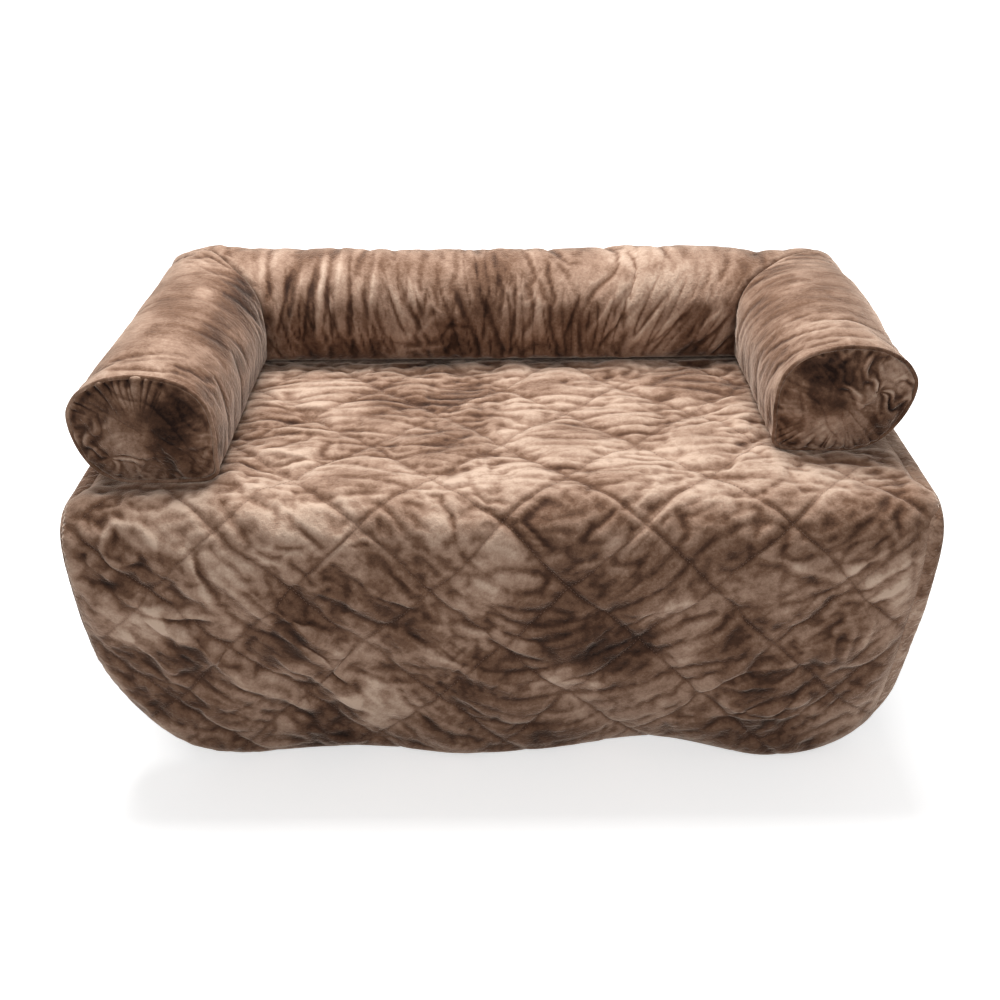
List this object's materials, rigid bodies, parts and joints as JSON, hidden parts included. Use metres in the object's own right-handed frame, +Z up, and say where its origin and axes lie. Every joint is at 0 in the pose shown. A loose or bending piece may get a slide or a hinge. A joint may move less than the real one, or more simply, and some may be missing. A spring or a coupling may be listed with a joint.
{
  "type": "couch protector pet bed",
  "caption": "Quilted plush couch mat with a padded bolster on its back and both sides and a flap that hangs over the couch's front edge.",
  "frame": {"origin": "middle of the flat underside that rests on the couch seat", "axes": "+X across the bed, to the right as a person faces it from the front; +Y towards the couch's back; +Z up"},
  "size_m": [1.12, 0.6624, 0.5742],
  "materials": {
    "plush": "crushed velvet plush, taupe brown",
    "filling": "loose polyester fibre",
    "wadding": "needled polyester wadding",
    "backing": "woven cloth with rubber grip dots",
    "zip_tape": "woven tape",
    "zip_teeth": "moulded nylon",
    "zip_metal": "lacquered, semi-gloss"
  },
  "bodies": {
    "bed": {"seat_plush": "plush", "seat_hem_left": "plush", "seat_hem_back": "plush", "seat_hem_right": "plush", "left_arm_sleeve": "plush", "back_sleeve": "plush", "right_arm_sleeve": "plush", "left_end_panel": "plush", "right_end_panel": "plush", "left_end_piping": "plush", "right_end_piping": "plush", "left_arm_filling": "filling", "back_filling": "filling", "right_arm_filling": "filling", "seat_wadding": "wadding", "seat_backing": "backing", "zip_tapes": "zip_tape", "zip_teeth": "zip_teeth", "zip_stops": "zip_metal"},
    "flap": {"flap_plush": "plush", "flap_wadding": "wadding", "flap_backing": "backing", "flap_hem": "plush"},
    "zip_slider": {"zip_slider": "zip_metal"},
    "zip_pull": {"zip_pull": "zip_metal"}
  },
  "joints": [
    {"name": "flap_fold", "type": "hinge", "parent": "bed", "child": "flap", "pos_m": [0, -0.34011, 0.00711], "axis": [-1, 0, 0], "range_deg": [0, 90]},
    {"name": "zip_slide", "type": "slide", "parent": "bed", "child": "zip_slider", "axis": [-1, 0, 0], "range_m": [0, 0.545]},
    {"name": "zip_pull_swing", "type": "hinge", "parent": "zip_slider", "child": "zip_pull", "pos_m": [0.2727, 0.3016, 0.09021], "axis": [0, 0, -1], "range_deg": [0, 180]}
  ]
}
